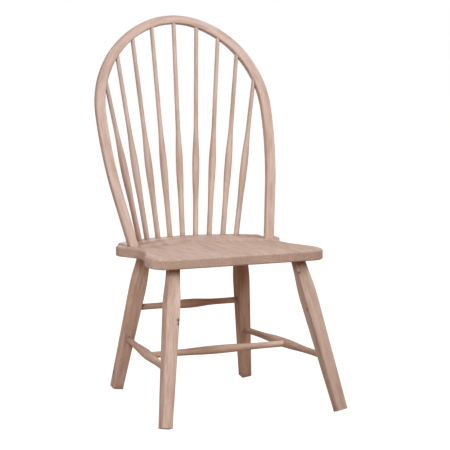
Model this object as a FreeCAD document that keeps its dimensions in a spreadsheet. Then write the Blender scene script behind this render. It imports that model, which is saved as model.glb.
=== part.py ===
import FreeCAD, Part

# Bow-back windsor side chair in plain unfinished hardwood.
# The chair faces -Y, +X is the viewer's right, +Z is up and the floor is Z = 0.
# It is put together with its seat level and leaned back by the seat's slope at the end.
# All sizes are millimetres. Left and right are the viewer's, facing the chair.

import itertools
import math
import os

import Sketcher
from FreeCAD import Placement, Rotation, Vector

SIZES = {
    # seat plank and its outline, half widths and reaches from the chair's middle
    "seat_height": 457.0,
    "seat_slope": 0.75,
    "seat_thickness": 29.5,
    "seat_back_reach": 243.0,
    "seat_front_reach": 222.0,
    "back_edge_radius": 390.0,
    "rear_corner_half_width": 232.0,
    "rear_corner_radius": 14.0,
    "notch_half_width": 226.0,
    "notch_reach": 116.0,
    "notch_radius": 14.0,
    "ear_length": 34.5,
    "ear_width": 27.0,
    "ear_back_slope": 3.0,
    "ear_back_radius": 12.0,
    "ear_front_radius": 6.5,
    "waist_half_width": 226.0,
    "waist_reach": 20.0,
    "waist_length": 60.0,
    "waist_back_radius": 60.0,
    "waist_front_radius": 200.0,
    "front_half_width": 266.5,
    "front_bulge_length": 87.0,
    "front_bulge_radius": 110.0,
    "front_corner_radius": 50.0,
    "seat_top_edge_radius": 6.0,
    "seat_bottom_edge_radius": 4.0,
    # saddle: a bowl on each side, stopped at the back by the step of the spindle deck,
    # and a thigh channel on each side of the pommel
    "deck_width": 98.0,
    "deck_step_lean": 40.0,
    "bowl_offset": 100.0,
    "bowl_reach": 20.0,
    "bowl_half_width": 126.0,
    "bowl_half_length": 200.0,
    "bowl_depth": 10.0,
    "bowl_centre_height": 3.0,
    "channel_offset": 125.0,
    "channel_radius": 700.0,
    "channel_depth": 3.5,
    "channel_rear_reach": 60.0,
    # glue joints between the seat's staves, counted from the left
    "stave_joint_1": -155.0,
    "stave_joint_2": -79.5,
    "stave_joint_3": -36.5,
    "stave_joint_4": 28.0,
    "stave_joint_5": 87.5,
    "stave_joint_6": 157.0,
    # bow of the back: heights are up its own plane, half widths are to its inner edge
    "bow_base_reach": 63.5,
    "bow_recline": 18.5,
    "bow_depth": 20.0,
    "bow_edge_radius": 4.5,
    "bow_height": 676.8,
    "bow_half_width": 253.0,
    "bow_foot_half_spread": 203.4,
    "bow_crown_width": 24.5,
    "bow_side_width": 30.2,
    "bow_foot_width": 28.6,
    "bow_crown_angle": 19.6,
    "bow_inner_crown_radius": 204.5,
    "bow_outer_crown_radius": 254.0,
    "bow_side_radius": 1400.0,
    "bow_tenon_diameter": 17.0,
    "bow_tenon_length": 19.0,
    # spindles of the back, counted out from the middle one
    "spindle_back_margin": 20.5,
    "spindle_half_spread_1": 42.0,
    "spindle_half_spread_2": 84.0,
    "spindle_half_spread_3": 124.2,
    "spindle_half_spread_4": 158.0,
    "end_spindle_forward": 10.0,
    "spindle_bow_angle_1": 20.6,
    "spindle_bow_angle_2": 36.1,
    "spindle_bow_angle_3": 52.0,
    "spindle_bow_angle_4": 71.8,
    "spindle_base_diameter": 16.0,
    "spindle_swell_diameter": 22.0,
    "spindle_neck_diameter": 13.4,
    "spindle_top_diameter": 12.2,
    "spindle_swell_start": 80.0,
    "spindle_swell_rise": 134.0,
    "spindle_swell_fall": 132.0,
    "spindle_seat_tenon": 17.0,
    "spindle_bow_tenon": 12.0,
    # legs, placed on the seat's underside and leaned from there; insets are from the seat's ends
    "front_leg_half_spread": 193.6,
    "front_leg_inset": 53.9,
    "front_leg_splay": 10.29,
    "front_leg_rake": 16.5,
    "rear_leg_half_spread": 154.5,
    "rear_leg_inset": 101.3,
    "rear_leg_splay": 8.06,
    "rear_leg_rake": 12.06,
    "leg_neck_width": 31.8,
    "leg_swell_width": 40.4,
    "leg_foot_width": 32.0,
    "leg_swell_drop": 115.0,
    "leg_edge_radius": 3.5,
    "leg_tenon_diameter": 25.0,
    "leg_tenon_length": 18.0,
    # stretchers
    "rear_stretcher_height": 257.5,
    "side_stretcher_front_height": 152.5,
    "side_stretcher_rear_height": 161.5,
    "cross_stretcher_place": 0.46,
    "stretcher_end_diameter": 18.4,
    "rear_stretcher_diameter": 27.6,
    "rear_stretcher_swell": 95.0,
    "side_stretcher_diameter": 27.6,
    "side_stretcher_swell": 150.0,
    "cross_stretcher_diameter": 25.0,
    "cross_stretcher_swell": 150.0,
    "stretcher_end_inset": 5.0,
    # room for glue round and past a tenon
    "glue_gap": 0.1,
    "socket_end_gap": 0.8,
}

SIDES = {"left": -1, "right": 1}
# The most of an outline's straight side that the rounding of its two ends may take up together.
SIDE_SHARE = 0.98
# The last of a corner's own radii that the back edge's arc keeps clear of it.
CORNER_ROOM = 1.5
# How near two levels have to be to count as the same.
SAME_LEVEL = 0.01
# The least cosine between an edge and a leg's axis that makes the edge one of the leg's arrises.
ALONG_LEG = 0.9
SPINDLES = range(1, 10)

doc = FreeCAD.newDocument("windsor_chair")
sheet = doc.addObject("Spreadsheet::Sheet", "sizes")
for row, (alias, value) in enumerate(SIZES.items(), start=1):
    sheet.set(f"A{row}", alias)
    sheet.set(f"B{row}", str(value))
    sheet.setAlias(f"B{row}", alias)
doc.recompute()


def size(alias):
    """The value of one named cell of the sheet."""
    return float(sheet.get(alias))


def angle(alias):
    """A named cell that holds degrees, in radians."""
    return math.radians(size(alias))


# Document helpers

def feature(kind, name, expressions=None):
    """An object of the document with its sizes bound to cells of the sheet."""
    made = doc.addObject(kind, name)
    for key, expression in (expressions or {}).items():
        made.setExpression(key, expression)
    return made


def rod(name, start, direction, radius, length):
    """A cylinder from start along direction, with radius and length as expressions."""
    made = feature("Part::Cylinder", name, {"Radius": radius, "Height": length})
    made.Placement = Placement(start, Rotation(Vector(0, 0, 1), direction))
    return made


def combine(kind, name, shapes):
    """The union or the common part of some shapes: MultiFuse or MultiCommon."""
    made = doc.addObject("Part::" + kind, name)
    made.Shapes = shapes
    return made


def cut(name, base, tool):
    """A shape with another cut away."""
    made = doc.addObject("Part::Cut", name)
    made.Base = base
    made.Tool = tool
    return made


def bore(name, base, rods):
    """A shape with sockets that lie apart from each other bored into it."""
    bits = doc.addObject("Part::Compound", name + "_bits")
    bits.Links = rods
    return cut(name, base, bits)


def new_body(name):
    """An empty PartDesign body."""
    return doc.addObject("PartDesign::Body", name)


def origin_plane(body, role):
    """One of the body's own origin planes."""
    return next(item for item in body.Origin.OriginFeatures if item.Role == role)


def outline_sketch(body, name, role, edges):
    """A sketch on one of the body's planes that holds a closed chain of edges."""
    sketch = body.newObject("Sketcher::SketchObject", name)
    sketch.AttachmentSupport = [(origin_plane(body, role), "")]
    sketch.MapMode = "FlatFace"
    sketch.addGeometry(edges, False)
    for index in range(len(edges)):
        follower = (index + 1) % len(edges)
        leaving, entering = min(
            itertools.product((1, 2), repeat=2),
            key=lambda ends: sketch.getPoint(index, ends[0]).distanceToPoint(sketch.getPoint(follower, ends[1])),
        )
        sketch.addConstraint(Sketcher.Constraint("Coincident", index, leaving, follower, entering))
    return sketch


def pad(body, sketch, length, midplane=False, reverse=False):
    """A pad of a sketch, with its length as an expression."""
    made = body.newObject("PartDesign::Pad", sketch.Name + "_pad")
    made.Profile = sketch
    made.setExpression("Length", length)
    made.Midplane = midplane
    made.Reversed = reverse
    return made


def turned(name, edges):
    """A body turned about its own Z axis from a half outline in its XZ plane."""
    body = new_body(name)
    sketch = outline_sketch(body, name + "_outline", "XZ_Plane", edges)
    lathe = body.newObject("PartDesign::Revolution", name + "_turning")
    lathe.Profile = sketch
    lathe.ReferenceAxis = (sketch, ["V_Axis"])
    lathe.Angle = 360
    return body


# Geometry helpers

def line(start, end):
    """A straight edge between two points of a sketch plane."""
    return Part.LineSegment(start, end)


def arc(start, middle, end):
    """An arc of a circle through three points of a sketch plane."""
    return Part.Arc(start, middle, end)


def easing(start, end):
    """Two equal tangent arcs that leave start and reach end along the sketch's Y axis."""
    run = end.y - start.y
    rise = end.x - start.x
    radius = (run * run + rise * rise) / (4 * abs(rise))
    turn = math.asin(abs(run) / 2 / radius)
    bulge = radius * (1 - math.cos(turn / 2))
    step = radius * math.sin(turn / 2)
    way = 1 if run > 0 else -1
    side = 1 if rise > 0 else -1
    middle = (start + end) * 0.5
    first = arc(start, Vector(start.x + side * bulge, start.y + way * step, 0), middle)
    second = arc(middle, Vector(end.x - side * bulge, end.y - way * step, 0), end)
    return [first, second]


def rounded_path(start, corners, finish):
    """Lines from start to finish with a tangent arc round each (point, radius) corner between."""
    points = [start] + [point for point, _ in corners] + [finish]
    sides = [(after - before).Length for before, after in zip(points, points[1:])]
    halves = []
    for before, point, after in zip(points, points[1:], points[2:]):
        back = Vector(before - point).normalize()
        ahead = Vector(after - point).normalize()
        halves.append(math.acos(max(-1.0, min(1.0, back.dot(ahead)))) / 2)
    wanted = [0.0] + [radius / math.tan(half) for (_, radius), half in zip(corners, halves)] + [0.0]
    crowding = [side / (first + second) for side, first, second in zip(sides, wanted, wanted[1:])]
    edges = []
    left_at = start
    for index, half in enumerate(halves):
        point = points[index + 1]
        reach = wanted[index + 1] * min(1.0, SIDE_SHARE * crowding[index], SIDE_SHARE * crowding[index + 1])
        back = Vector(points[index] - point).normalize()
        ahead = Vector(points[index + 2] - point).normalize()
        sagitta = reach * math.tan(half) * (1 / math.sin(half) - 1)
        bend = point + Vector(back + ahead).normalize() * sagitta
        edges.append(line(left_at, point + back * reach))
        left_at = point + ahead * reach
        edges.append(arc(point + back * reach, bend, left_at))
    return edges + [line(left_at, finish)]


# Seat

def back_centre():
    """The centre that the seat's back edge, its deck step and the row of spindles share."""
    return Vector(0, size("seat_back_reach") - size("back_edge_radius"), 0)


def seat_edges():
    """The seat's outline: the back edge's arc, and its sides and front edge with rounded corners."""
    radius = size("back_edge_radius")
    corner = size("rear_corner_half_width")
    spread = math.asin((corner - CORNER_ROOM * size("rear_corner_radius")) / radius)
    right = back_centre() + Vector(math.sin(spread), math.cos(spread), 0) * radius
    ear = size("notch_half_width") + size("ear_length")
    ear_back = size("notch_reach") - size("ear_back_slope")
    half = [
        (corner, right.y - (corner - right.x) * math.tan(spread), size("rear_corner_radius")),
        (size("notch_half_width"), size("notch_reach"), size("notch_radius")),
        (ear, ear_back, size("ear_back_radius")),
        (ear, ear_back - size("ear_width"), size("ear_front_radius")),
        (size("waist_half_width"), size("waist_reach"), size("waist_back_radius")),
        (size("waist_half_width"), size("waist_reach") - size("waist_length"), size("waist_front_radius")),
        (
            size("front_half_width"),
            size("front_bulge_length") - size("seat_front_reach"),
            size("front_bulge_radius"),
        ),
        (size("front_half_width"), -size("seat_front_reach"), size("front_corner_radius")),
    ]
    corners = [(Vector(x, y, 0), rounding) for x, y, rounding in half]
    corners += [(mirrored(point), rounding) for point, rounding in reversed(corners)]
    back = arc(mirrored(right), Vector(0, size("seat_back_reach"), 0), right)
    return [back] + rounded_path(right, corners, mirrored(right))


def seat_plank():
    """The seat's slab with softened edges, before the saddle and the sockets are cut."""
    body = new_body("seat_plank")
    sketch = outline_sketch(body, "seat_outline", "XY_Plane", seat_edges())
    slab = pad(body, sketch, "sizes.seat_thickness")
    doc.recompute()
    for name, level in (("top", size("seat_thickness")), ("bottom", 0.0)):
        rims = [
            f"Edge{number}"
            for number, edge in enumerate(slab.Shape.Edges, start=1)
            if abs(edge.BoundBox.ZMin - level) < SAME_LEVEL and abs(edge.BoundBox.ZMax - level) < SAME_LEVEL
        ]
        softened = body.newObject("PartDesign::Fillet", f"seat_{name}_edge")
        softened.Base = (slab, rims)
        softened.setExpression("Radius", f"sizes.seat_{name}_edge_radius")
        slab = softened
        doc.recompute()
    body.Placement = Placement(Vector(0, 0, size("seat_height") - size("seat_thickness")), Rotation())
    return body


def saddle_tools():
    """What the saddle removes: a bowl on each side up to the deck's step, and a thigh channel."""
    centre_height = size("bowl_centre_height")
    height = size("seat_height")
    rim = math.sqrt(1 - (centre_height / (size("bowl_depth") + centre_height)) ** 2)
    fall = math.atan(size("channel_depth") / (size("seat_front_reach") + size("channel_rear_reach")))
    bowls = []
    channels = []
    for side, sign in SIDES.items():
        bowl = feature(
            "Part::Ellipsoid",
            f"bowl_{side}",
            {
                "Radius1": "sizes.bowl_depth + sizes.bowl_centre_height",
                "Radius2": f"sizes.bowl_half_width / {rim}",
                "Radius3": f"sizes.bowl_half_length / {rim}",
            },
        )
        middle = Vector(sign * size("bowl_offset"), size("bowl_reach"), height + centre_height)
        bowl.Placement = Placement(middle, Rotation())
        bowls.append(bowl)
        rear = Vector(
            sign * size("channel_offset"), size("channel_rear_reach"), height + size("channel_radius")
        )
        channels.append(
            rod(
                f"channel_{side}",
                rear,
                Vector(0, -math.cos(fall), -math.sin(fall)),
                "sizes.channel_radius",
                "2 * (sizes.seat_front_reach + sizes.channel_rear_reach)",
            )
        )
    step = feature(
        "Part::Cone",
        "deck_step",
        {
            "Radius1": "sizes.back_edge_radius - sizes.deck_width - sizes.seat_thickness * tan(sizes.deck_step_lean)",
            "Radius2": "sizes.back_edge_radius - sizes.deck_width + sizes.seat_thickness * tan(sizes.deck_step_lean)",
            "Height": "2 * sizes.seat_thickness",
        },
    )
    step.Placement = Placement(back_centre() + Vector(0, 0, height - size("seat_thickness")), Rotation())
    saddle = combine("MultiCommon", "saddle", [combine("MultiFuse", "both_bowls", bowls), step])
    return [saddle] + channels


def make_staves(seat):
    """The seat's edge-glued staves, cut from the finished seat between its glue joints."""
    joints = [size(alias) for alias in SIZES if alias.startswith("stave_joint_")]
    outside = 2 * size("front_half_width")
    edges = [-outside] + joints + [outside]
    staves = []
    for number, (left, right) in enumerate(zip(edges, edges[1:]), start=1):
        strip = doc.addObject("Part::Box", f"stave_strip_{number}")
        strip.Length = right - left
        strip.setExpression("Width", "2 * (sizes.seat_back_reach + sizes.seat_front_reach)")
        strip.setExpression("Height", "2 * sizes.seat_thickness")
        strip.Placement = Placement(
            Vector(left, -2 * size("seat_front_reach"), size("seat_height") - 1.5 * size("seat_thickness")),
            Rotation(),
        )
        staves.append(combine("MultiCommon", f"seat_stave_{number}", [seat, strip]))
    return staves


# Bow

def bow_placement():
    """From the bow's flat, with its front face at Y = 0, to its reclined place on the seat."""
    lean = Rotation(Vector(1, 0, 0), -size("bow_recline"))
    return Placement(Vector(0, size("bow_base_reach"), size("seat_height")), lean)


def bow_arcs(edge):
    """Centre, radius, start and end angle from the top of each arc of one edge of half a bow."""
    outer = edge == "outer"
    height = size("bow_height") + (size("bow_crown_width") if outer else 0)
    half_width = size("bow_half_width") + (size("bow_side_width") if outer else 0)
    foot = size("bow_foot_half_spread") + (size("bow_foot_width") if outer else 0)
    crown = size(f"bow_{edge}_crown_radius")
    turn = angle("bow_crown_angle")
    shoulder = (half_width - crown * math.sin(turn)) / (1 - math.sin(turn))
    side = size("bow_side_radius")
    crown_centre = Vector(0, height - crown, 0)
    shoulder_centre = on_arc(crown_centre, crown - shoulder, turn)
    side_centre = Vector(half_width - side, shoulder_centre.y, 0)
    to_foot = Vector(foot, 0, 0) - side_centre
    lean = math.atan2(-to_foot.y, to_foot.x) - math.acos(side / to_foot.Length)
    quarter = math.pi / 2
    return [
        (crown_centre, crown, 0.0, turn),
        (shoulder_centre, shoulder, turn, quarter),
        (side_centre, side, quarter, quarter + lean),
    ]


def on_arc(centre, radius, turned_by):
    """The point of an arc at an angle from the top."""
    return centre + Vector(math.sin(turned_by), math.cos(turned_by), 0) * radius


def bow_end_direction(edge):
    """The way one edge of the bow's right end runs down, in the bow's own plane."""
    finish = bow_arcs(edge)[-1][3]
    return Vector(math.cos(finish), -math.sin(finish), 0)


def bow_foot(edge, level):
    """Where one edge of the right end reaches a level of the bow's own plane."""
    centre, radius, _, finish = bow_arcs(edge)[-1]
    tip = on_arc(centre, radius, finish)
    way = bow_end_direction(edge)
    return tip + way * ((level - tip.y) / way.y)


def mirrored(point):
    """A sketch point on the other side of the chair's middle."""
    return Vector(-point.x, point.y, 0)


def bow_edge(edge, level):
    """One edge of the bow as tangent lines and arcs, from the left foot to the right."""
    centre, radius, _, crown_end = bow_arcs(edge)[0]
    right = on_arc(centre, radius, crown_end)
    chain = [arc(mirrored(right), on_arc(centre, radius, 0), right)]
    for centre, radius, start, finish in bow_arcs(edge)[1:]:
        points = [on_arc(centre, radius, turn) for turn in (start, (start + finish) / 2, finish)]
        chain.append(arc(*points))
        chain.insert(0, arc(*[mirrored(point) for point in reversed(points)]))
    foot = bow_foot(edge, level)
    tip = chain[-1].EndPoint
    chain.append(line(tip, foot))
    chain.insert(0, line(mirrored(foot), mirrored(tip)))
    return chain


def bow_foot_centre(level):
    """The middle of the bow's right end at a level of its own plane, half way through its depth."""
    middle = (bow_foot("outer", level) + bow_foot("inner", level)) * 0.5
    return Vector(middle.x, size("bow_depth") / 2, middle.y)


def bow_tenon_rods(prefix, radius, length):
    """A cylinder down each end of the bow, from just above the seat."""
    start = bow_foot_centre(size("bow_depth") / 2)
    way = bow_end_direction("inner") + bow_end_direction("outer")
    place = bow_placement()
    rods = []
    for side, sign in SIDES.items():
        point = place.multVec(Vector(sign * start.x, start.y, start.z))
        direction = place.Rotation.multVec(Vector(sign * way.x, 0, way.y))
        rods.append(rod(f"{prefix}_{side}", point, direction, radius, length))
    return rods


def bow_blank():
    """The bent bow with softened edges, running on a little below the seat's top."""
    below = -size("bow_depth")
    outer = bow_edge("outer", below)
    inner = bow_edge("inner", below)
    right_foot = line(outer[-1].EndPoint, inner[-1].EndPoint)
    left_foot = line(inner[0].StartPoint, outer[0].StartPoint)
    back_along_inner = []
    for edge in reversed(inner):
        if isinstance(edge, Part.LineSegment):
            back_along_inner.append(line(edge.EndPoint, edge.StartPoint))
        else:
            middle = edge.value((edge.FirstParameter + edge.LastParameter) / 2)
            back_along_inner.append(arc(edge.EndPoint, middle, edge.StartPoint))
    body = new_body("bow_blank")
    sketch = outline_sketch(body, "bow_outline", "XZ_Plane", outer + [right_foot] + back_along_inner + [left_foot])
    bar = pad(body, sketch, "sizes.bow_depth", reverse=True)
    doc.recompute()
    faces = (0.0, size("bow_depth"))
    rims = [
        f"Edge{number}"
        for number, edge in enumerate(bar.Shape.Edges, start=1)
        if edge.BoundBox.YLength < SAME_LEVEL
        and min(abs(edge.BoundBox.YMin - face) for face in faces) < SAME_LEVEL
        and edge.BoundBox.ZLength + edge.BoundBox.XLength > SAME_LEVEL
        and edge.BoundBox.ZMax > below + SAME_LEVEL
    ]
    softened = body.newObject("PartDesign::Fillet", "bow_edges")
    softened.Base = (bar, rims)
    softened.setExpression("Radius", "sizes.bow_edge_radius")
    body.Placement = bow_placement()
    return body


def wide_block(name, bottom, height):
    """A block wider and deeper than the chair from a level up, with its height as an expression."""
    block = feature(
        "Part::Box",
        name,
        {
            "Length": "4 * sizes.front_half_width",
            "Width": "2 * (sizes.seat_back_reach + sizes.seat_front_reach)",
            "Height": height,
        },
    )
    corner = Vector(-2 * size("front_half_width"), -size("seat_back_reach") - size("seat_front_reach"), bottom)
    block.Placement = Placement(corner, Rotation())
    return block


# Spindles

def steps_from_middle(number):
    """How many spindles a spindle stands to the right of the middle one."""
    return number - SPINDLES[len(SPINDLES) // 2]


def spindle_seat_point(number):
    """Where a spindle's axis meets the seat's top."""
    steps = steps_from_middle(number)
    across = math.copysign(size(f"spindle_half_spread_{abs(steps)}"), steps) if steps else 0.0
    radius = size("back_edge_radius") - size("spindle_back_margin")
    reach = back_centre().y + math.sqrt(radius * radius - across * across)
    if number in (SPINDLES[0], SPINDLES[-1]):
        reach -= size("end_spindle_forward")
    return Vector(across, reach, size("seat_height"))


def spindle_bow_point(number):
    """Where a spindle's axis meets the bow's inner edge, half way through the bow's depth."""
    steps = steps_from_middle(number)
    turned_by = angle(f"spindle_bow_angle_{abs(steps)}") if steps else 0.0
    centre, radius, _, _ = next(item for item in bow_arcs("inner") if turned_by <= item[3])
    point = on_arc(centre, radius, turned_by)
    across = math.copysign(point.x, steps)
    return bow_placement().multVec(Vector(across, size("bow_depth") / 2, point.y))


def spindle_axis(number):
    """Seat point, direction and exposed length of a spindle."""
    foot = spindle_seat_point(number)
    run = spindle_bow_point(number) - foot
    return foot, Vector(run).normalize(), run.Length


def make_spindle(number):
    """One turned spindle, swelled a third of the way up, with a tenon at each end."""
    foot, direction, exposed = spindle_axis(number)
    base = size("spindle_base_diameter") / 2
    swell = size("spindle_swell_diameter") / 2
    neck = size("spindle_neck_diameter") / 2
    top = size("spindle_top_diameter") / 2
    low = -size("spindle_seat_tenon")
    high = exposed + size("spindle_bow_tenon")
    start = Vector(base, size("spindle_swell_start"), 0)
    widest = Vector(swell, start.y + size("spindle_swell_rise"), 0)
    end = Vector(neck, widest.y + size("spindle_swell_fall"), 0)
    shoulder = Vector(top, exposed - size("spindle_bow_tenon"), 0)
    edges = [line(Vector(0, low, 0), Vector(base, low, 0)), line(Vector(base, low, 0), start)]
    edges += easing(start, widest) + easing(widest, end)
    edges += [
        line(end, shoulder),
        line(shoulder, Vector(top, high, 0)),
        line(Vector(top, high, 0), Vector(0, high, 0)),
        line(Vector(0, high, 0), Vector(0, low, 0)),
    ]
    body = turned(f"spindle_{number}", edges)
    body.Placement = Placement(foot, Rotation(Vector(0, 0, 1), direction))
    return body


def spindle_seat_sockets():
    """Sockets for the spindles in the seat's top."""
    tools = []
    for number in SPINDLES:
        foot, direction, _ = spindle_axis(number)
        bottom = foot - direction * (size("spindle_seat_tenon") + size("socket_end_gap"))
        tools.append(
            rod(
                f"spindle_seat_socket_{number}",
                bottom,
                direction,
                "sizes.spindle_base_diameter / 2 + sizes.glue_gap",
                "2 * (sizes.spindle_seat_tenon + sizes.socket_end_gap)",
            )
        )
    return tools


def spindle_bow_sockets():
    """Sockets for the spindles in the bow's inner edge."""
    tools = []
    for number in SPINDLES:
        _, direction, _ = spindle_axis(number)
        end = spindle_bow_point(number) + direction * (size("spindle_bow_tenon") + size("socket_end_gap"))
        tools.append(
            rod(
                f"spindle_bow_socket_{number}",
                end,
                direction * -1,
                "sizes.spindle_top_diameter / 2 + sizes.glue_gap",
                "2 * (sizes.spindle_bow_tenon + sizes.socket_end_gap)",
            )
        )
    return tools


# Legs

def leg_point(row, side, height):
    """The point of a leg's axis at a height of the level chair; row is front or rear."""
    drop = size("seat_height") - size("seat_thickness") - height
    across = size(f"{row}_leg_half_spread") + drop * math.tan(angle(f"{row}_leg_splay"))
    seat_reach = size("seat_back_reach" if row == "rear" else "seat_front_reach")
    reach = seat_reach - size(f"{row}_leg_inset") + drop * math.tan(angle(f"{row}_leg_rake"))
    return Vector(SIDES[side] * across, reach if row == "rear" else -reach, height)


def leg_frame(row, side):
    """Placement with its origin where the leg meets the seat and its Z axis down the leg."""
    top = leg_point(row, side, size("seat_height") - size("seat_thickness"))
    down = (leg_point(row, side, 0) - top).normalize()
    across = (Vector(1, 0, 0) - down * down.x).normalize()
    return Placement(top, Rotation(across, down.cross(across), down, "ZXY"))


def seat_tilt():
    """The turn that leans the level chair back by the seat's slope."""
    return Placement(Vector(), Rotation(Vector(1, 0, 0), -size("seat_slope")))


def foot_height(row, side):
    """How high the middle of a foot's square-cut end stands, with the foot's inner corner on the floor."""
    rotation = (seat_tilt() * leg_frame(row, side)).Rotation
    tilts = [abs(rotation.multVec(axis).z) for axis in (Vector(1, 0, 0), Vector(0, 1, 0))]
    rounding = size("leg_edge_radius")
    return (size("leg_foot_width") / 2 - rounding) * sum(tilts) + rounding * math.hypot(*tilts)


def leg_length(row, side):
    """The leg's length on its axis, from the seat's underside to its square-cut end."""
    frame = seat_tilt() * leg_frame(row, side)
    fall = -frame.Rotation.multVec(Vector(0, 0, 1)).z
    return (frame.Base.z - foot_height(row, side)) / fall


def leg_profile(row, side):
    """The outline of a leg's side, from its square-cut end to a little above the seat's underside."""
    neck = size("leg_neck_width") / 2
    swell = size("leg_swell_width") / 2
    foot = size("leg_foot_width") / 2
    spare = size("leg_neck_width")
    drop = size("leg_swell_drop")
    bottom = leg_length(row, side)
    right = [line(Vector(neck, -spare, 0), Vector(neck, 0, 0))]
    right += easing(Vector(neck, 0, 0), Vector(swell, drop, 0))
    right += [line(Vector(swell, drop, 0), Vector(foot, bottom, 0))]
    left = [line(Vector(-foot, bottom, 0), Vector(-swell, drop, 0))]
    left += easing(Vector(-swell, drop, 0), Vector(-neck, 0, 0))
    left += [line(Vector(-neck, 0, 0), Vector(-neck, -spare, 0))]
    bottom_end = line(Vector(foot, bottom, 0), Vector(-foot, bottom, 0))
    top_end = line(Vector(-neck, -spare, 0), Vector(neck, -spare, 0))
    return right + [bottom_end] + left + [top_end]


def make_leg(row, side, sockets):
    """One square leg sawn to the same outline on both faces, with its arrises softened."""
    name = f"leg_{row}_{side}"
    frame = leg_frame(row, side)
    cuts = []
    for face, quarter in (("front", 0), ("side", 90)):
        body = new_body(f"{name}_{face}_cut")
        sketch = outline_sketch(body, f"{name}_{face}_outline", "XZ_Plane", leg_profile(row, side))
        pad(body, sketch, "2 * sizes.leg_swell_width", midplane=True)
        body.Placement = frame * Placement(Vector(), Rotation(Vector(0, 0, 1), quarter))
        cuts.append(body)
    sawn = combine("MultiCommon", f"{name}_sawn", cuts)
    doc.recompute()
    along = frame.Rotation.multVec(Vector(0, 0, 1))
    arrises = []
    for number, edge in enumerate(sawn.Shape.Edges, start=1):
        way = edge.tangentAt((edge.FirstParameter + edge.LastParameter) / 2)
        if abs(way.dot(along)) > ALONG_LEG:
            arrises.append((number, size("leg_edge_radius"), size("leg_edge_radius")))
    softened = doc.addObject("Part::Fillet", f"{name}_softened")
    softened.Base = sawn
    softened.Edges = arrises
    underside = size("seat_height") - size("seat_thickness")
    above_underside = wide_block(f"above_{name}", underside, "2 * sizes.leg_swell_width")
    trimmed = cut(f"{name}_trimmed", softened, above_underside)
    tenon = leg_tenon_rod(f"{name}_tenon", row, side, "sizes.leg_tenon_diameter / 2", "sizes.leg_tenon_length")
    shaped = combine("MultiFuse", f"{name}_shaped", [trimmed, tenon])
    return bore(name, shaped, sockets)


def leg_tenon_rod(name, row, side, radius, length):
    """A cylinder up a leg's axis, from one radius inside the leg to a length above its top."""
    frame = leg_frame(row, side)
    up = frame.Rotation.multVec(Vector(0, 0, -1))
    start = frame.Base - up * (size("leg_tenon_diameter") / 2)
    return rod(name, start, up, radius, f"{length} + sizes.leg_tenon_diameter / 2")


# Stretchers

def stretcher_ends(name):
    """The points of the carrying pieces' axes that a stretcher joins."""
    if name == "rear_stretcher":
        height = size("rear_stretcher_height")
        return leg_point("rear", "left", height), leg_point("rear", "right", height)
    if name == "cross_stretcher":
        ends = []
        for side in SIDES:
            front, rear = stretcher_ends(f"side_stretcher_{side}")
            ends.append(front + (rear - front) * size("cross_stretcher_place"))
        return tuple(ends)
    side = name.rsplit("_", 1)[1]
    front = leg_point("front", side, size("side_stretcher_front_height"))
    rear = leg_point("rear", side, size("side_stretcher_rear_height"))
    return front, rear


def make_stretcher(name, place, sockets):
    """One turned stretcher, thickest in the middle, with plain ends let into what it joins."""
    start, end = stretcher_ends(name)
    way = Vector(end - start).normalize()
    half = (end - start).Length / 2 - size("stretcher_end_inset")
    tip = size("stretcher_end_diameter") / 2
    middle = size(f"{place}_stretcher_diameter") / 2
    swell = size(f"{place}_stretcher_swell")
    edges = [
        line(Vector(0, -half, 0), Vector(tip, -half, 0)),
        line(Vector(tip, -half, 0), Vector(tip, -swell, 0)),
    ]
    edges += easing(Vector(tip, -swell, 0), Vector(middle, 0, 0))
    edges += easing(Vector(middle, 0, 0), Vector(tip, swell, 0))
    edges += [
        line(Vector(tip, swell, 0), Vector(tip, half, 0)),
        line(Vector(tip, half, 0), Vector(0, half, 0)),
        line(Vector(0, half, 0), Vector(0, -half, 0)),
    ]
    body = turned(name if not sockets else f"{name}_turned", edges)
    body.Placement = Placement((start + end) * 0.5, Rotation(Vector(0, 0, 1), way))
    return bore(name, body, sockets) if sockets else body


def stretcher_socket(name, end_index):
    """The socket for one end of a stretcher, deep enough for its plain end."""
    ends = stretcher_ends(name)
    here = ends[end_index]
    inward = Vector(ends[1 - end_index] - here).normalize()
    bottom = here + inward * (size("stretcher_end_inset") - size("socket_end_gap"))
    return rod(
        f"{name}_socket_{end_index + 1}",
        bottom,
        inward,
        "sizes.stretcher_end_diameter / 2 + sizes.glue_gap",
        "2 * sizes.leg_swell_width",
    )


# Assembly

def make_seat():
    """The finished seat in one piece, dished and bored for the back and the legs."""
    seat = seat_plank()
    for tool in saddle_tools():
        seat = cut(f"seat_less_{tool.Name}", seat, tool)
    bores = spindle_seat_sockets() + bow_tenon_rods(
        "bow_seat_socket",
        "sizes.bow_tenon_diameter / 2 + sizes.glue_gap",
        "sizes.bow_tenon_length + sizes.bow_depth / 2 + sizes.socket_end_gap",
    )
    for row in ("front", "rear"):
        for side in SIDES:
            bores.append(
                leg_tenon_rod(
                    f"leg_{row}_{side}_socket",
                    row,
                    side,
                    "sizes.leg_tenon_diameter / 2 + sizes.glue_gap",
                    "sizes.leg_tenon_length + sizes.socket_end_gap",
                )
            )
    return bore("seat", seat, bores)


def make_bow():
    """The bow, trimmed to the seat's top, with its tenons and the spindles' sockets."""
    below_seat_top = wide_block("below_seat_top", 0, "sizes.seat_height")
    standing = cut("bow_standing", bow_blank(), below_seat_top)
    tenons = bow_tenon_rods(
        "bow_tenon", "sizes.bow_tenon_diameter / 2", "sizes.bow_tenon_length + sizes.bow_depth / 2"
    )
    whole = combine("MultiFuse", "bow_with_tenons", [standing] + tenons)
    return bore("bow", whole, spindle_bow_sockets())


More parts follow.
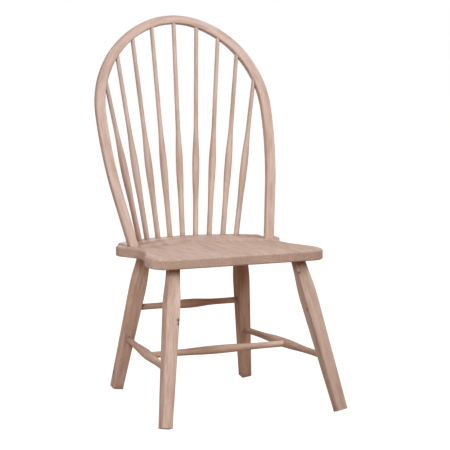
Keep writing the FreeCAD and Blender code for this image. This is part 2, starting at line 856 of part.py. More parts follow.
def make_chair():
    """Every sub-part of the chair, in the order that it is put together."""
    parts = make_staves(make_seat())
    parts.append(make_bow())
    parts += [make_spindle(number) for number in SPINDLES]
    for side, end_index in (("left", 0), ("right", 1)):
        parts.append(make_leg("front", side, [stretcher_socket(f"side_stretcher_{side}", 0)]))
        rear_sockets = [stretcher_socket(f"side_stretcher_{side}", 1), stretcher_socket("rear_stretcher", end_index)]
        parts.append(make_leg("rear", side, rear_sockets))
        cross_socket = stretcher_socket("cross_stretcher", end_index)
        parts.append(make_stretcher(f"side_stretcher_{side}", "side", [cross_socket]))
    parts.append(make_stretcher("cross_stretcher", "cross", []))
    parts.append(make_stretcher("rear_stretcher", "rear", []))
    return parts


def stand_on_floor(parts):
    """Lean every sub-part back alike and move it, so that the chair's middle stands over the origin."""
    box = FreeCAD.BoundBox()
    for part in parts:
        part.Placement = seat_tilt() * part.Placement
        box.add(part.Shape.optimalBoundingBox(False, False))
    shift = Placement(Vector(-box.Center.x, -box.Center.y, -box.ZMin), Rotation())
    for part in parts:
        part.Placement = shift * part.Placement


def check(parts):
    """Stop if any object failed or any sub-part isn't one sound solid."""
    for item in doc.Objects:
        if "Invalid" in item.State or "Error" in item.State:
            raise RuntimeError(f"{item.Name} did not recompute: {item.State}")
    for part in parts:
        shape = part.Shape
        if shape.isNull() or not shape.isValid() or len(shape.Solids) != 1:
            raise RuntimeError(f"{part.Name} is not one sound solid")


chair = make_chair()
for part in chair:
    part.Label = part.Name
doc.recompute()
check(chair)
stand_on_floor(chair)
doc.recompute()
check(chair)
os.makedirs("parts", exist_ok=True)
for part in chair:
    part.Shape.exportStep(f"parts/{part.Label}.step")
    box = part.Shape.optimalBoundingBox(False, False)
    print(f"{part.Label:22s} {part.Shape.Volume / 1000:9.2f} cm3  z {box.ZMin:8.2f} to {box.ZMax:8.2f}")
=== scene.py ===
"""A bow-back windsor side chair in plain unfinished hardwood: the finish of each piece, the light and the view."""

import logging
import math
from collections.abc import Mapping
from dataclasses import dataclass
from enum import Enum

import bpy
import numpy as np
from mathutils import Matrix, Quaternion, Vector


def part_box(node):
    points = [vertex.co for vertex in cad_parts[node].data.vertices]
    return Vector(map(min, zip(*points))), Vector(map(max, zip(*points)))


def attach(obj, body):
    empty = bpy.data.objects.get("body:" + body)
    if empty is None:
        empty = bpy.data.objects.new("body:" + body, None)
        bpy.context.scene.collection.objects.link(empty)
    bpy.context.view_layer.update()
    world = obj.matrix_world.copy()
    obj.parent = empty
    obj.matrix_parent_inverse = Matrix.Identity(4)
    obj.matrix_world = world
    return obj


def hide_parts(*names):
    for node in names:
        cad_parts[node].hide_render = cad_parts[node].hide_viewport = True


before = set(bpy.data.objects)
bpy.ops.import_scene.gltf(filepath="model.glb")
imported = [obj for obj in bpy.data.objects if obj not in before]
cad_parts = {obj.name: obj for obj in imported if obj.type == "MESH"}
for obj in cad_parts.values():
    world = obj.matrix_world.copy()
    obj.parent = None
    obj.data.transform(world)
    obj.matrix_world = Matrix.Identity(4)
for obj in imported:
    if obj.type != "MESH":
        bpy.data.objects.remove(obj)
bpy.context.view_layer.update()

BODY = "root"
GRAIN_ATTRIBUTE = "grain"
# The share of a long piece's length that counts as its end.
END_OF_LENGTH = 0.02

Colour = tuple[float, float, float]
Place = tuple[float, float, float]
Span = tuple[float, float]

WHITE: Colour = (1.0, 1.0, 1.0)

log = logging.getLogger("windsor_chair")


class Cut(Enum):
    """How a piece was taken from the tree, which sets where its growth rings run."""

    FLAT_SAWN = (0.012, 0.062, 0.0)
    QUARTER_SAWN = (0.16, 0.02, 0.0)
    TURNED = (0.045, 0.03, 0.0)
    BENT = (0.09, 0.05, 0.0)

    @property
    def pith(self) -> Place:
        """Where the tree's heart lies from the piece's own middle, in metres."""
        return self.value


class Side(Enum):
    """A side of the chair as the viewer in front sees it, by its word in the names of nodes."""

    LEFT = "left"
    RIGHT = "right"


class NodeBench:
    """Puts nodes in one tree and joins them up."""

    # The mix node has sockets of one name for each type. These are the numbers of those for colours.
    MIX_SHARE, MIX_FIRST, MIX_SECOND, MIX_RESULT = 0, 6, 7, 2

    def __init__(self, tree: bpy.types.NodeTree) -> None:
        """Take the empty tree of a material, a world or a group."""
        self.tree = tree

    def put(self, kind: str, sockets: Mapping[str | int, object] | None = None, **settings: object) -> bpy.types.Node:
        """Add a node.

        Args:
            kind: The node's type name.
            sockets: Each input by its name or number, with a plain value or the output that feeds it.
            settings: The node's own properties.

        Returns:
            The new node.
        """
        node = self.tree.nodes.new(kind)
        for name, value in settings.items():
            setattr(node, name, value)
        for key, value in (sockets or {}).items():
            if isinstance(value, bpy.types.NodeSocket):
                self.tree.links.new(value, node.inputs[key])
            else:
                node.inputs[key].default_value = value
        return node

    def world(self) -> bpy.types.NodeSocket:
        """The place in the chair's own coordinates, in metres."""
        return self.put("ShaderNodeTexCoord").outputs["Object"]

    def math(self, operation: str, first: object, second: object = 0.0) -> bpy.types.NodeSocket:
        """The result of one sum on a number, or on two."""
        return self.put("ShaderNodeMath", {0: first, 1: second}, operation=operation).outputs[0]

    def vector(self, operation: str, first: object, second: object) -> bpy.types.NodeSocket:
        """The vector that one sum on two vectors gives."""
        return self.put("ShaderNodeVectorMath", {0: first, 1: second}, operation=operation).outputs["Vector"]

    def dot(self, first: object, second: object) -> bpy.types.NodeSocket:
        """The dot product of two vectors."""
        return self.put("ShaderNodeVectorMath", {0: first, 1: second}, operation="DOT_PRODUCT").outputs["Value"]

    def length(self, vector: object) -> bpy.types.NodeSocket:
        """The length of a vector."""
        return self.put("ShaderNodeVectorMath", {0: vector}, operation="LENGTH").outputs["Value"]

    def noise(self, place: object, seed: object, scale: float, detail: float) -> bpy.types.NodeSocket:
        """Soft noise from 0 to 1 at a place, different for each seed."""
        sockets = {"Vector": place, "W": seed, "Scale": scale, "Detail": detail}
        return self.put("ShaderNodeTexNoise", sockets, noise_dimensions="4D").outputs["Fac"]

    def span(self, value: object, old: Span, new: Span = (0.0, 1.0)) -> bpy.types.NodeSocket:
        """A number spread from its old span onto a new one, smoothly and without overshoot."""
        sockets = {"Value": value, "From Min": old[0], "From Max": old[1], "To Min": new[0], "To Max": new[1]}
        return self.put("ShaderNodeMapRange", sockets, interpolation_type="SMOOTHSTEP").outputs["Result"]

    def mix(self, share: object, first: object, second: object, blend: str = "MIX") -> bpy.types.NodeSocket:
        """Two colours mixed by a share of the second."""
        sockets = {self.MIX_SHARE: share, self.MIX_FIRST: first, self.MIX_SECOND: second}
        return self.put("ShaderNodeMix", sockets, data_type="RGBA", blend_type=blend).outputs[self.MIX_RESULT]


def opaque(colour: Colour) -> tuple[float, float, float, float]:
    """A colour with full opacity, as a socket wants it."""
    return (*colour, 1.0)


def tinted(shade: float, cast: Colour) -> Colour:
    """A shade of grey with a cast of colour."""
    return (shade * cast[0], shade * cast[1], shade * cast[2])


def clear_bench(owner: bpy.types.Material | bpy.types.World) -> NodeBench:
    """Clear a material or a world of its nodes.

    Args:
        owner: The material or the world.

    Returns:
        The bench of its empty tree.
    """
    owner.use_nodes = True
    owner.node_tree.nodes.clear()
    return NodeBench(owner.node_tree)


@dataclass(frozen=True)
class Layer:
    """One layer of noise in the wood: its stretch along the grain, scale per metre, detail and the span that shows."""

    along: float
    scale: float
    detail: float
    span: Span = (0.0, 1.0)

    def noise(self, bench: NodeBench, place: object, seed: object) -> bpy.types.NodeSocket:
        """The layer's noise at a place in the grain."""
        stretched = bench.vector("MULTIPLY", place, (1.0, 1.0, self.along))
        return bench.noise(stretched, seed, self.scale, self.detail)

    def share(self, bench: NodeBench, place: object, seed: object) -> bpy.types.NodeSocket:
        """How strongly the layer shows at a place in the grain, from 0 to 1."""
        return bench.span(self.noise(bench, place, seed), self.span)


@dataclass(frozen=True)
class Hardwood:
    """Plain sanded hardwood without stain or varnish, as a node group shared by every piece, with metres as lengths."""

    # What the wood is coloured with.
    early_wood: Colour = (0.70, 0.60, 0.54)
    late_wood: Colour = (0.41, 0.30, 0.235)
    heart_blush: Colour = (0.65, 0.535, 0.465)
    pore_brown: Colour = (0.26, 0.14, 0.09)
    end_brown: Colour = (0.44, 0.285, 0.215)
    # Where its soft blotches, its fibres, its vessels and its mineral flecks lie, and how its pith wanders.
    blotches: Layer = Layer(along=0.3, scale=34.0, detail=3.0, span=(0.3, 0.7))
    drift: Layer = Layer(along=0.16, scale=22.0, detail=2.5)
    fine_fibres: Layer = Layer(along=0.05, scale=480.0, detail=3.0)
    broad_fibres: Layer = Layer(along=0.12, scale=85.0, detail=2.5)
    pores: Layer = Layer(along=0.05, scale=1300.0, detail=1.0, span=(0.63, 0.72))
    flecks: Layer = Layer(along=0.14, scale=300.0, detail=1.0, span=(0.66, 0.76))
    # How its growth rings and fibres are drawn.
    ring_width: float = 0.0085
    ring_wander: float = 0.022
    ring_taper: float = 0.015
    ring_rise: Span = (0.25, 0.9)
    ring_fall: Span = (0.92, 1.0)
    fine_weight: float = 0.34
    broad_weight: float = 0.66
    streak_span: Span = (0.40, 0.64)
    fleck_seed: float = 9.0
    # How strongly each of them shows.
    ring_share: float = 0.17
    end_ring_share: float = 0.45
    streak_share: float = 0.66
    pore_share: float = 0.45
    fleck_share: float = 0.5
    end_share: float = 0.3
    # How they catch the light.
    streak_relief: float = 0.35
    pore_relief: float = 0.9
    roughness: Span = (0.56, 0.74)

    def group(self) -> bpy.types.NodeTree:
        """Build the node group.

        Returns:
            A group from a place in the grain, a seed, a share of end grain and the strength of the figure, to colour,
            roughness and height.
        """
        tree = bpy.data.node_groups.new("plain_hardwood", "ShaderNodeTree")
        number = "NodeSocketFloat"
        inputs = {"Grain": "NodeSocketVector", "Seed": number, "End": number, "Figure": number}
        outputs = {"Colour": "NodeSocketColor", "Roughness": number, "Height": number}
        for way, sockets in (("INPUT", inputs), ("OUTPUT", outputs)):
            for name, kind in sockets.items():
                tree.interface.new_socket(name, in_out=way, socket_type=kind)
        bench = NodeBench(tree)
        given = bench.put("NodeGroupInput").outputs
        place, seed, end, figure = (given[name] for name in inputs)
        streaks = self.streaks(bench, place, seed)
        pores = self.pores.share(bench, place, seed)
        flecks = self.flecks.share(bench, place, bench.math("ADD", seed, self.fleck_seed))
        ring_share = bench.math("ADD", self.ring_share, bench.math("MULTIPLY", end, self.end_ring_share))
        streak_share = bench.math("MULTIPLY", figure, self.streak_share)
        coats = (
            (self.blotches.share(bench, place, seed), self.heart_blush),
            (bench.math("MULTIPLY", self.rings(bench, place, seed), ring_share), self.late_wood),
            (bench.math("MULTIPLY", streaks, streak_share), self.late_wood),
            (bench.math("MULTIPLY", pores, self.pore_share), self.pore_brown),
            (bench.math("MULTIPLY", flecks, self.fleck_share), self.pore_brown),
            (bench.math("MULTIPLY", end, self.end_share), self.end_brown),
        )
        colour = opaque(self.early_wood)
        for share, coat in coats:
            colour = bench.mix(share, colour, opaque(coat))
        raised = bench.math("MULTIPLY", streaks, self.streak_relief)
        height = bench.math("SUBTRACT", raised, bench.math("MULTIPLY", pores, self.pore_relief))
        rough = bench.span(streaks, (0.0, 1.0), self.roughness)
        bench.put("NodeGroupOutput", {"Colour": colour, "Roughness": rough, "Height": height})
        return tree

    def rings(self, bench: NodeBench, place: object, seed: object) -> bpy.types.NodeSocket:
        """Draw growth rings about a pith that wanders along the piece.

        Args:
            bench: The bench of the group's tree.
            place: The place in the grain.
            seed: The piece's seed.

        Returns:
            0 in the early wood, up to 1 at the end of each ring.
        """
        across = bench.length(bench.vector("MULTIPLY", place, (1.0, 1.0, self.ring_taper)))
        wander = bench.math("MULTIPLY", self.drift.noise(bench, place, seed), self.ring_wander)
        turns = bench.math("DIVIDE", bench.math("ADD", across, wander), self.ring_width)
        through = bench.math("FRACT", turns)
        rise = bench.span(through, self.ring_rise)
        fall = bench.span(through, self.ring_fall, (1.0, 0.0))
        return bench.math("MULTIPLY", rise, fall)

    def streaks(self, bench: NodeBench, place: object, seed: object) -> bpy.types.NodeSocket:
        """Draw the darker fibres that run with the grain.

        Args:
            bench: The bench of the group's tree.
            place: The place in the grain.
            seed: The piece's seed.

        Returns:
            0 between the fibres, up to 1 on them.
        """
        fine = bench.math("MULTIPLY", self.fine_fibres.noise(bench, place, seed), self.fine_weight)
        broad = bench.math("MULTIPLY", self.broad_fibres.noise(bench, place, seed), self.broad_weight)
        return bench.span(bench.math("ADD", fine, broad), self.streak_span)


@dataclass(frozen=True)
class Knot:
    """A small dark knot or worm hole, at a place on a piece's surface in metres."""

    place: Place
    radius: float
    darkness: float
    eye_tint: Colour = (0.02, 0.012, 0.008)
    eye_core: float = 0.7
    ring_tint: Colour = (0.34, 0.19, 0.12)
    ring_reach: float = 2.2
    ring_share: float = 0.4

    def lay(self, bench: NodeBench, colour: object) -> bpy.types.NodeSocket:
        """Lay the knot's dark eye and soft ring over a colour.

        Args:
            bench: The bench of the finish's tree.
            colour: The colour without the knot.

        Returns:
            The colour with the knot.
        """
        away = bench.length(bench.vector("SUBTRACT", bench.world(), self.place))
        outer = (self.radius, self.ring_reach * self.radius)
        ring = bench.span(away, outer, (self.ring_share * self.darkness, 0.0))
        eye = bench.span(away, (self.eye_core * self.radius, self.radius), (self.darkness, 0.0))
        ringed = bench.mix(ring, colour, opaque(self.ring_tint))
        return bench.mix(eye, ringed, opaque(self.eye_tint))


@dataclass(frozen=True)
class PaintedShadow:
    """A painted shadow: a soft dark band along a line on a piece's surface, in metres."""

    start: Place
    finish: Place
    radius: float
    darkness: float
    tint: Colour = (0.20, 0.105, 0.065)
    core: float = 0.35

    def lay(self, bench: NodeBench, colour: object) -> bpy.types.NodeSocket:
        """Lay the painted shadow over a colour.

        Args:
            bench: The bench of the finish's tree.
            colour: The colour without the painted shadow.

        Returns:
            The colour with the painted shadow.
        """
        run = Vector(self.finish) - Vector(self.start)
        from_start = bench.vector("SUBTRACT", bench.world(), self.start)
        part = bench.span(bench.math("DIVIDE", bench.dot(from_start, run), run.length_squared), (0.0, 1.0))
        nearest = bench.put("ShaderNodeVectorMath", {0: run, "Scale": part}, operation="SCALE").outputs["Vector"]
        away = bench.length(bench.vector("SUBTRACT", from_start, nearest))
        share = bench.span(away, (self.core * self.radius, self.radius), (self.darkness, 0.0))
        return bench.mix(share, colour, opaque(self.tint))


@dataclass(frozen=True)
class Edging:
    """A tint set by the free room within a reach in metres: painted shade in closed corners, or, from inside, a lighter
    rub on arrises.
    """

    tint: Colour
    reach: float
    free: Span
    shares: Span
    samples: int
    inside: bool

    def lay(self, bench: NodeBench, colour: object) -> bpy.types.NodeSocket:
        """Lay the tint over a colour.

        Args:
            bench: The bench of the finish's tree.
            colour: The colour without the tint.

        Returns:
            The colour with the tint.
        """
        settings = {"samples": self.samples, "inside": self.inside}
        room = bench.put("ShaderNodeAmbientOcclusion", {"Distance": self.reach}, **settings).outputs["AO"]
        return bench.mix(bench.span(room, self.free, self.shares), colour, opaque(self.tint))


# Painted shade: a dark brown laid into closed corners, joints and the leg tops under the seat, where shadow falls.
PAINTED_CORNER_SHADE = Edging((0.16, 0.075, 0.04), reach=0.032, free=(0.1, 0.9), shares=(0.8, 0.0), samples=12, inside=False)
RUBBED_ARRISES = Edging((0.76, 0.66, 0.59), reach=0.004, free=(0.2, 0.6), shares=(0.0, 0.14), samples=6, inside=True)


@dataclass(frozen=True)
class Blank:
    """One blank of wood: the cut that sets its rings, its tint, its marks and painted shadows, and how it takes the
    light.
    """

    name: str
    cut: Cut
    seed: float
    tint: Colour
    marks_and_shadows: tuple[Knot | PaintedShadow, ...] = ()
    figure: float = 1.0
    edgings: tuple[Edging, ...] = (PAINTED_CORNER_SHADE, RUBBED_ARRISES)
    end_span: Span = (0.55, 0.9)
    relief: float = 0.0004
    relief_share: float = 0.55
    shine: float = 0.28

    def material(self, wood: bpy.types.NodeTree, origin: Vector, along: Vector) -> bpy.types.Material:
        """Make the finish of this one blank.

        Args:
            wood: The node group of the hardwood.
            origin: A point on the blank's axis.
            along: The direction of the grain.

        Returns:
            A material in the chair's own coordinates, or in the bent grain's where the cut is BENT.
        """
        made = bpy.data.materials.new(f"wood_{self.name}")
        bench = clear_bench(made)
        grain = self.grain(bench, origin, along)
        end = self.end_share(bench, along)
        sockets = {"Grain": grain, "End": end, "Seed": self.seed, "Figure": self.figure}
        timber = bench.put("ShaderNodeGroup", sockets, node_tree=wood).outputs
        colour = bench.mix(1.0, timber["Colour"], opaque(self.tint), "MULTIPLY")
        for coat in self.marks_and_shadows + self.edgings:
            colour = coat.lay(bench, colour)
        sockets = {"Strength": self.relief_share, "Distance": self.relief, "Height": timber["Height"]}
        normal = bench.put("ShaderNodeBump", sockets).outputs["Normal"]
        sockets = {"Base Color": colour, "Roughness": timber["Roughness"], "Normal": normal}
        sockets["Specular IOR Level"] = self.shine
        surface = bench.put("ShaderNodeBsdfPrincipled", sockets).outputs["BSDF"]
        bench.put("ShaderNodeOutputMaterial", {"Surface": surface})
        return made

    def grain(self, bench: NodeBench, origin: Vector, along: Vector) -> bpy.types.NodeSocket:
        """Find the place in the blank.

        Args:
            bench: The bench of the finish's tree.
            origin: A point on the blank's axis.
            along: The direction of the grain.

        Returns:
            The place in metres from the blank's pith, with the grain along Z.
        """
        if self.cut is Cut.BENT:
            local = bench.put("ShaderNodeAttribute", attribute_name=GRAIN_ATTRIBUTE).outputs["Vector"]
        else:
            turn = along.to_track_quat("Z", "Y").to_euler()
            sockets = {"Vector": bench.world(), "Location": origin, "Rotation": turn}
            local = bench.put("ShaderNodeMapping", sockets, vector_type="TEXTURE").outputs["Vector"]
        return bench.vector("ADD", local, self.cut.pith)

    def end_share(self, bench: NodeBench, along: Vector) -> bpy.types.NodeSocket | float:
        """Find how far the surface is cut across the grain.

        Args:
            bench: The bench of the finish's tree.
            along: The direction of the grain.

        Returns:
            0 on a side up to 1 on an end, and 0 all over where the cut is BENT.
        """
        if self.cut is Cut.BENT:
            return 0.0
        normal = bench.put("ShaderNodeNewGeometry").outputs["True Normal"]
        return bench.span(bench.math("ABSOLUTE", bench.dot(normal, along)), self.end_span)


def dress(node: bpy.types.Object, material: bpy.types.Material) -> None:
    """Give a piece one finish all over.

    Args:
        node: The piece.
        material: Its finish.
    """
    node.data.materials.clear()
    node.data.materials.append(material)


def long_axis(node: bpy.types.Object) -> tuple[Vector, Vector]:
    """Find the axis of a long piece from its two ends.

    Args:
        node: A piece much longer one way than the others.

    Returns:
        The middle of the piece and the unit direction of its length.
    """
    points = np.array([vertex.co for vertex in node.data.vertices])
    longest = int(np.argmax(np.ptp(points, axis=0)))
    reach = points[:, longest]
    close = END_OF_LENGTH * np.ptp(reach)
    low = points[reach < reach.min() + close].mean(axis=0)
    high = points[reach > reach.max() - close].mean(axis=0)
    return Vector((low + high) / 2), Vector(high - low).normalized()


def dress_long(blank: Blank, wood: bpy.types.NodeTree) -> None:
    """Dress a long piece with grain along its own axis.

    Args:
        blank: The blank of the piece, by the node's name.
        wood: The node group of the hardwood.
    """
    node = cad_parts[blank.name]
    middle, along = long_axis(node)
    dress(node, blank.material(wood, middle, along))
    log.info("%s: %s, middle at %.3f m", blank.name, blank.cut.name, middle.z)


@dataclass
class Seat:
    """The seat's seven staves, glued edge to edge with their grain front to back."""

    shades: tuple[float, ...] = (0.88, 0.885, 0.905, 0.84, 0.905, 0.895, 0.83)
    cast: Colour = (1.0, 0.995, 0.99)
    figure: float = 0.62
    seed_step: float = 3.7
    # Painted shadows: dark bands on the seat top that run from the bow's left foot towards the middle of the back,
    # where shade falls.
    painted_shadows: tuple[PaintedShadow, ...] = (
        PaintedShadow((-0.205, 0.093, 0.4556), (-0.1033, 0.1516, 0.4550), 0.024, 0.62),
        PaintedShadow((-0.1033, 0.1516, 0.4550), (0.010, 0.1960, 0.4545), 0.018, 0.36),
        PaintedShadow((-0.200, 0.062, 0.4535), (-0.100, 0.120, 0.4530), 0.018, 0.28),
        PaintedShadow((-0.100, 0.120, 0.4530), (0.060, 0.168, 0.4525), 0.016, 0.2),
    )

    def build(self, wood: bpy.types.NodeTree) -> None:
        """Dress every stave as its own board.

        Args:
            wood: The node group of the hardwood.
        """
        for number, shade in enumerate(self.shades, 1):
            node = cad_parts[f"seat_stave_{number}"]
            low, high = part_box(node.name)
            cut = Cut.FLAT_SAWN if number % 2 else Cut.QUARTER_SAWN
            board = Blank(node.name, cut, self.seed_step * number, tinted(shade, self.cast), self.painted_shadows, self.figure)
            dress(node, board.material(wood, (low + high) / 2, Vector((0.0, 1.0, 0.0))))
            log.info("%s: %s", node.name, cut.name)


@dataclass
class Bow:
    """The bent bow, whose grain follows its bend, with lengths in metres and angles in radians."""

    recline: float = math.radians(19.25)
    base_reach: float = 0.0651
    base_height: float = 0.4561
    crown_middle: float = 0.68905
    crown_radius: float = 0.229
    crown_angle: float = math.radians(19.6)
    half_width: float = 0.2681
    foot_half_spread: float = 0.2177
    side_radius: float = 1.4
    below_foot: Span = (0.01, 0.2)
    arc_points: int = 80
    seed: float = 41.0
    tint: Colour = (0.97, 0.985, 1.01)

    def spine(self) -> np.ndarray:
        """Lay out points along the middle of half the bow, from the top to below the foot.

        Returns:
            Rows of the half width and the height up the bow's own plane.
        """
        sine = math.sin(self.crown_angle)
        shoulder = (self.half_width - self.crown_radius * sine) / (1 - sine)
        crown = np.array((0.0, self.crown_middle - self.crown_radius))
        bend = crown + (self.crown_radius - shoulder) * self.compass(self.crown_angle)
        side = np.array((self.half_width - self.side_radius, bend[1]))
        to_foot = np.array((self.foot_half_spread, 0.0)) - side
        lean = math.atan2(-to_foot[1], to_foot[0]) - math.acos(self.side_radius / float(np.hypot(*to_foot)))
        arcs = (
            (crown, self.crown_radius, 0.0, self.crown_angle),
            (bend, shoulder, self.crown_angle, math.pi / 2),
            (side, self.side_radius, math.pi / 2, math.pi / 2 + lean),
        )
        rows = [
            centre + radius * self.compass(turn)
            for centre, radius, start, finish in arcs
            for turn in np.linspace(start, finish, self.arc_points)
        ]
        down = np.array((math.cos(math.pi / 2 + lean), -math.sin(math.pi / 2 + lean)))
        rows += [rows[-1] + down * reach for reach in np.linspace(*self.below_foot, self.arc_points)]
        return np.array(rows)

    @staticmethod
    def compass(turn: float) -> np.ndarray:
        """The unit direction at an angle from straight up."""
        return np.array((math.sin(turn), math.cos(turn)))

    def grain_of(self, points: np.ndarray) -> np.ndarray:
        """Find where each point lay in the straight blank before it was bent.

        Args:
            points: Rows of places on the bow, in metres.

        Returns:
            Rows of the place across the bow, through its depth and along its length.
        """
        rise = points[:, 2] - self.base_height
        ahead = points[:, 1] - self.base_reach
        height = rise * math.cos(self.recline) + ahead * math.sin(self.recline)
        through = ahead * math.cos(self.recline) - rise * math.sin(self.recline)
        spine = self.spine()
        flat = np.stack((np.abs(points[:, 0]), height), axis=1)
        gaps = flat[:, None, :] - spine[None, :, :]
        nearest = np.argmin((gaps**2).sum(axis=2), axis=1)
        steps = np.diff(spine, axis=0, prepend=spine[:1])
        run = np.cumsum(np.hypot(steps[:, 0], steps[:, 1]))
        ways = np.gradient(spine, axis=0)
        ways /= np.hypot(ways[:, 0], ways[:, 1])[:, None]
        gap = flat - spine[nearest]
        way = ways[nearest]
        along = run[nearest] + (gap * way).sum(axis=1)
        across = gap[:, 1] * way[:, 0] - gap[:, 0] * way[:, 1]
        return np.stack((across, through, np.sign(points[:, 0]) * along), axis=1)

    def build(self, wood: bpy.types.NodeTree) -> None:
        """Dress the bow with grain that runs round the bend.

        Args:
            wood: The node group of the hardwood.
        """
        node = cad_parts["bow"]
        # The grain is kept in the mesh, so a copy of the bow stands in for the solid one.
        bow = bpy.data.objects.new("bow_bent", node.data.copy())
        bpy.context.scene.collection.objects.link(bow)
        points = np.array([vertex.co for vertex in bow.data.vertices])
        attribute = bow.data.attributes.new(GRAIN_ATTRIBUTE, "FLOAT_VECTOR", "POINT")
        attribute.data.foreach_set("vector", self.grain_of(points).astype(np.float32).ravel())
        blank = Blank("bow", Cut.BENT, self.seed, self.tint)
        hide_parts("bow")
        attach(bow, BODY)
        dress(bow, blank.material(wood, Vector(), Vector((0.0, 0.0, 1.0))))
        log.info("bow: %d points follow the bend", len(points))


@dataclass
class Spindles:
    """The nine turned spindles of the back."""

    # Partly each spindle's own tone and partly painted light: spindles four to nine lighter where more light falls on
    # them.
    shades: tuple[float, ...] = (0.98, 0.97, 1.0, 1.05, 1.05, 1.06, 1.07, 1.04, 1.02)
    cast: Colour = (0.985, 1.0, 1.015)
    seed_base: float = 60.0
    seed_step: float = 5.3

    def build(self, wood: bpy.types.NodeTree) -> None:
        """Dress every spindle along its own axis.

        Args:
            wood: The node group of the hardwood.
        """
        for number, shade in enumerate(self.shades, 1):
            seed = self.seed_base + self.seed_step * number
            dress_long(Blank(f"spindle_{number}", Cut.TURNED, seed, tinted(shade, self.cast)), wood)


@dataclass
class Legs:
    """The four sawn legs, the front pair first and the left one of each pair first."""

    rows: tuple[str, ...] = ("front", "rear")
    # Partly each leg's own tone and partly painted light: the rear right leg darker and browner where the seat shades
    # it, the front right darker, and the front left and rear left lighter where more light falls.
    tones_and_painted_light: tuple[Colour, ...] = (
        (1.06, 1.07, 1.085),
        (0.88, 0.875, 0.86),
        (1.22, 1.22, 1.18),
        (0.94, 0.87, 0.78),
    )
    knots: tuple[tuple[Knot, ...], ...] = (
        (Knot((-0.2030, -0.2306, 0.2910), 0.0056, 1.0), Knot((-0.2040, -0.2330, 0.2810), 0.0050, 1.0)),
        (Knot((0.1848, -0.1935, 0.3938), 0.0046, 0.85), Knot((0.2014, -0.2197, 0.2902), 0.0042, 0.8)),
        (Knot((-0.2241, 0.2255, 0.0528), 0.0045, 0.7), Knot((-0.1944, 0.1628, 0.1677), 0.0045, 0.4)),
        (),
    )
    figure: float = 1.15
    seed_base: float = 120.0
    seed_step: float = 7.9

    def build(self, wood: bpy.types.NodeTree) -> None:
        """Dress every leg along its own axis.

        Args:
            wood: The node group of the hardwood.
        """
        names = [f"leg_{row}_{side.value}" for row in self.rows for side in Side]
        for number, (name, tint, knots) in enumerate(zip(names, self.tones_and_painted_light, self.knots)):
            seed = self.seed_base + self.seed_step * number
            dress_long(Blank(name, Cut.FLAT_SAWN, seed, tint, knots, self.figure), wood)


@dataclass
class Stretchers:
    """The H stretcher and the one between the rear legs."""

    names: tuple[str, ...] = ("side_stretcher_left", "side_stretcher_right", "cross_stretcher", "rear_stretcher")
    # Partly each stretcher's own tone and partly painted light: the right side stretcher darker and browner where it
    # lies in shade, and the cross and rear stretchers lighter, which lifts the seat's shade.
    tones_and_painted_light: tuple[Colour, ...] = (
        (0.96, 0.95, 0.93),
        (0.85, 0.80, 0.74),
        (1.16, 1.16, 1.13),
        (1.08, 1.02, 0.95),
    )
    seed_base: float = 200.0
    seed_step: float = 6.1

    def build(self, wood: bpy.types.NodeTree) -> None:
        """Dress every stretcher along its own axis.

        Args:
            wood: The node group of the hardwood.
        """
        for number, (name, tint) in enumerate(zip(self.names, self.tones_and_painted_light)):
            dress_long(Blank(name, Cut.TURNED, self.seed_base + self.seed_step * number, tint), wood)


def look_back(azimuth: float, elevation: float) -> Vector:
    """Find the unit direction back from the chair to a camera or lamp.

    Args:
        azimuth: Degrees round from the chair's front, positive to the viewer's right.
        elevation: Degrees above the horizon.

    Returns:
        The direction in the chair's frame.
    """
    turn = math.radians(azimuth)
    rise = math.radians(elevation)
    return Vector((math.sin(turn) * math.cos(rise), -math.cos(turn) * math.cos(rise), math.sin(rise)))


@dataclass(frozen=True)
class Softbox:
    """A round softbox, by the direction in degrees that it shines from, with metres as lengths and power in watts."""

    name: str
    azimuth: float
    elevation: float
    power: float
    colour: Colour = WHITE
    distance: float = 2.2
    width: float = 0.9
    aim: Place = (0.0, 0.0, 0.6)

    def build(self) -> None:
        """Hang the softbox."""
        lamp = bpy.data.lights.new(self.name, "AREA")
        lamp.shape = "DISK"
        lamp.size = self.width
        lamp.energy = self.power
        lamp.color = self.colour
        back = look_back(self.azimuth, self.elevation)
        softbox = bpy.data.objects.new(self.name, lamp)
        bpy.context.scene.collection.objects.link(softbox)
        softbox.location = Vector(self.aim) + back * self.distance
        softbox.rotation_mode = "QUATERNION"
        softbox.rotation_quaternion = back.to_track_quat("Z", "Y")
        log.info("%s: %.0f W", self.name, self.power)


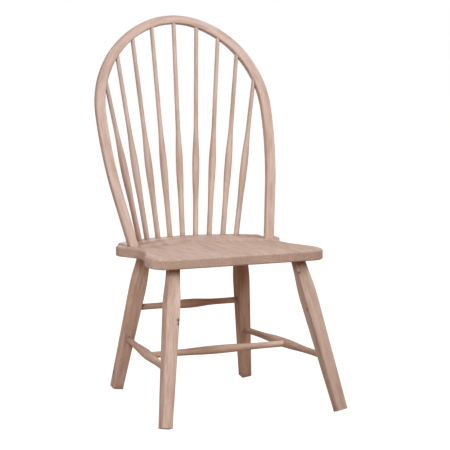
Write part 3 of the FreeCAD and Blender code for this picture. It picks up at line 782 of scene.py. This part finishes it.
@dataclass
class Studio:
    """The pale floor, the white surround and the softboxes."""

    # What lights the chair from all round and from below.
    fill: Colour = (0.325, 0.15, 0.083)
    floor_bounce: Colour = (0.28, 0.17, 0.115)
    # How the floor looks: its half width in metres, how much it takes shadows and how bright it is without them.
    floor_half: float = 12.0
    shadow_share: float = 0.25
    glow: float = 0.985
    softboxes: tuple[Softbox, ...] = (
        Softbox("left_softbox", -44.0, 20.0, 21.0),
        Softbox("front_softbox", -4.0, 36.0, 6.0),
        Softbox("right_softbox", 50.0, 43.0, 22.0),
        Softbox("rear_softbox", 172.0, 5.0, 9.0),
    )

    def build(self) -> None:
        """Set up the surround, the floor and the softboxes."""
        self.surround()
        self.floor()
        for softbox in self.softboxes:
            softbox.build()

    @staticmethod
    def shown(bench: NodeBench, lit: object, seen: object) -> bpy.types.NodeSocket:
        """Join what lights the chair to what is seen behind it.

        Args:
            bench: The bench of the tree.
            lit: The shader for rays that only gather light.
            seen: The shader for rays that show the surround itself or its reflection.

        Returns:
            The shader for both.
        """
        path = bench.put("ShaderNodeLightPath").outputs
        straight = bench.math("MAXIMUM", path["Is Camera Ray"], path["Is Glossy Ray"])
        share = bench.math("MAXIMUM", straight, path["Is Transmission Ray"])
        return bench.put("ShaderNodeMixShader", {0: share, 1: lit, 2: seen}).outputs[0]

    def surround(self) -> None:
        """Set up a white surround that lights the chair with a soft fill."""
        world = bpy.data.worlds.new("surround")
        bpy.context.scene.world = world
        bench = clear_bench(world)
        light = bench.put("ShaderNodeBackground", {"Color": opaque(self.fill), "Strength": 1.0}).outputs[0]
        white = bench.put("ShaderNodeBackground", {"Color": opaque(WHITE), "Strength": 1.0}).outputs[0]
        bench.put("ShaderNodeOutputWorld", {"Surface": self.shown(bench, light, white)})

    def floor(self) -> None:
        """Lay a pale floor that keeps the chair's shadow."""
        mesh = bpy.data.meshes.new("studio_floor")
        half = self.floor_half
        corners = [(-half, -half, 0.0), (half, -half, 0.0), (half, half, 0.0), (-half, half, 0.0)]
        mesh.from_pydata(corners, [], [(0, 1, 2, 3)])
        floor = bpy.data.objects.new("studio_floor", mesh)
        bpy.context.scene.collection.objects.link(floor)
        made = bpy.data.materials.new("pale_floor")
        bench = clear_bench(made)
        bounce = bench.put("ShaderNodeBsdfDiffuse", {"Color": opaque(self.floor_bounce)}).outputs[0]
        shadowed = bench.put("ShaderNodeBsdfDiffuse", {"Color": opaque((self.shadow_share,) * 3)}).outputs[0]
        glow = bench.put("ShaderNodeEmission", {"Color": opaque(WHITE), "Strength": self.glow}).outputs[0]
        pale = bench.put("ShaderNodeAddShader", {0: shadowed, 1: glow}).outputs[0]
        bench.put("ShaderNodeOutputMaterial", {"Surface": self.shown(bench, bounce, pale)})
        mesh.materials.append(made)


@dataclass
class PhotoView:
    """The camera, at the photograph's place and angle, in degrees and metres, its lens and sensor in millimetres."""

    azimuth: float = -24.387
    elevation: float = 7.825
    roll: float = 0.312
    distance: float = 5.0578
    aim: Place = (0.0407, 0.0025, 0.5142)
    lens: float = 138.54
    sensor: float = 36.0
    clip: Span = (0.1, 60.0)

    def build(self) -> None:
        """Set up the camera and the plain colour transform."""
        view = bpy.data.cameras.new("photo_view")
        view.lens = self.lens
        view.sensor_width = self.sensor
        view.clip_start, view.clip_end = self.clip
        camera = bpy.data.objects.new("photo_view", view)
        bpy.context.scene.collection.objects.link(camera)
        back = look_back(self.azimuth, self.elevation)
        camera.location = Vector(self.aim) + back * self.distance
        camera.rotation_mode = "QUATERNION"
        roll = Quaternion((0.0, 0.0, 1.0), math.radians(self.roll))
        camera.rotation_quaternion = (-back).to_track_quat("-Z", "Y") @ roll
        bpy.context.scene.camera = camera
        bpy.context.scene.view_settings.view_transform = "Standard"
        log.info("camera %.2f m away", self.distance)


def main() -> None:
    """Build the view, the light and every sub-assembly of the chair."""
    logging.basicConfig(level=logging.INFO, format="%(name)s: %(message)s")
    PhotoView().build()
    Studio().build()
    wood = Hardwood().group()
    for assembly in (Seat(), Bow(), Spindles(), Legs(), Stretchers()):
        assembly.build(wood)
        log.info("%s done", type(assembly).__name__)


if __name__ == "__main__":
    main()
